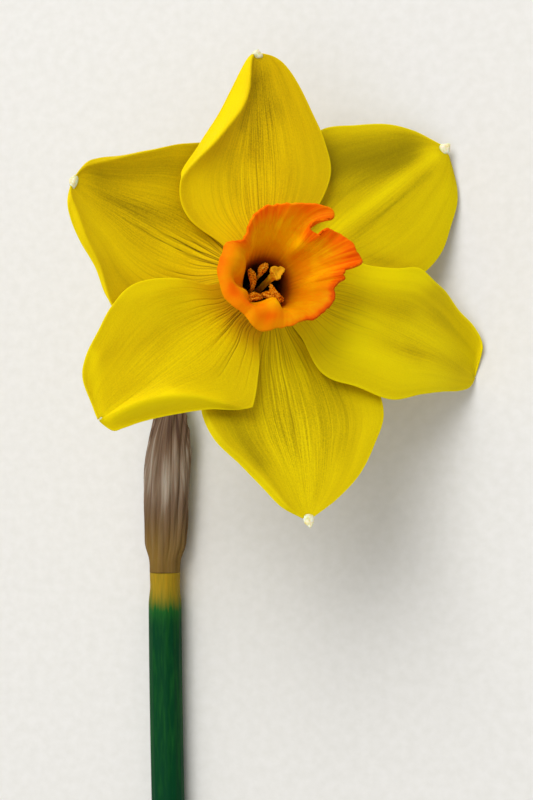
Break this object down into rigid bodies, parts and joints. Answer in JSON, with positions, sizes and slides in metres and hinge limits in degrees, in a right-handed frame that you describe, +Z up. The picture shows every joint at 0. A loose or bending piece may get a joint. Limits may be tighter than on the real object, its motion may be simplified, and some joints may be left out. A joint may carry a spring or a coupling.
{
  "type": "daffodil flower",
  "caption": "Cut trumpet daffodil laid down: yellow petals spread round a frilled orange cup, with stamens, papery spathe and a stem.",
  "frame": {"origin": "centre of the bounding box on the surface that the flower lies on", "axes": "+Z up from the surface; +Y along the stem from its cut end to the bloom; +X to the side that the bloom turns to"},
  "size_m": [0.0712, 0.2578, 0.0622],
  "materials": {
    "petal_inner": "matte yellow living petal",
    "petal_outer": "matte yellow living petal",
    "corona": "satin orange living cup",
    "tube": "satin yellow-green living tube",
    "ovary": "satin green living flesh",
    "stem": "satin blue-green living stem",
    "spathe": "dry papery brown bract",
    "filament": "satin yellow stalk",
    "anther": "powdery orange pollen",
    "pistil": "satin pale yellow style and stigma"
  },
  "bodies": {
    "root": {"petal_top": "petal_inner", "petal_right": "petal_inner", "petal_lower_left": "petal_inner", "petal_upper_left": "petal_outer", "petal_upper_right": "petal_outer", "petal_bottom": "petal_outer", "corona": "corona", "perianth_tube": "tube", "ovary": "ovary", "pedicel": "ovary", "scape": "stem", "spathe": "spathe", "filament_1": "filament", "filament_2": "filament", "filament_3": "filament", "filament_4": "filament", "filament_5": "filament", "filament_6": "filament", "anther_1": "anther", "anther_2": "anther", "anther_3": "anther", "anther_4": "anther", "anther_5": "anther", "anther_6": "anther", "pistil": "pistil"}
  },
  "joints": []
}
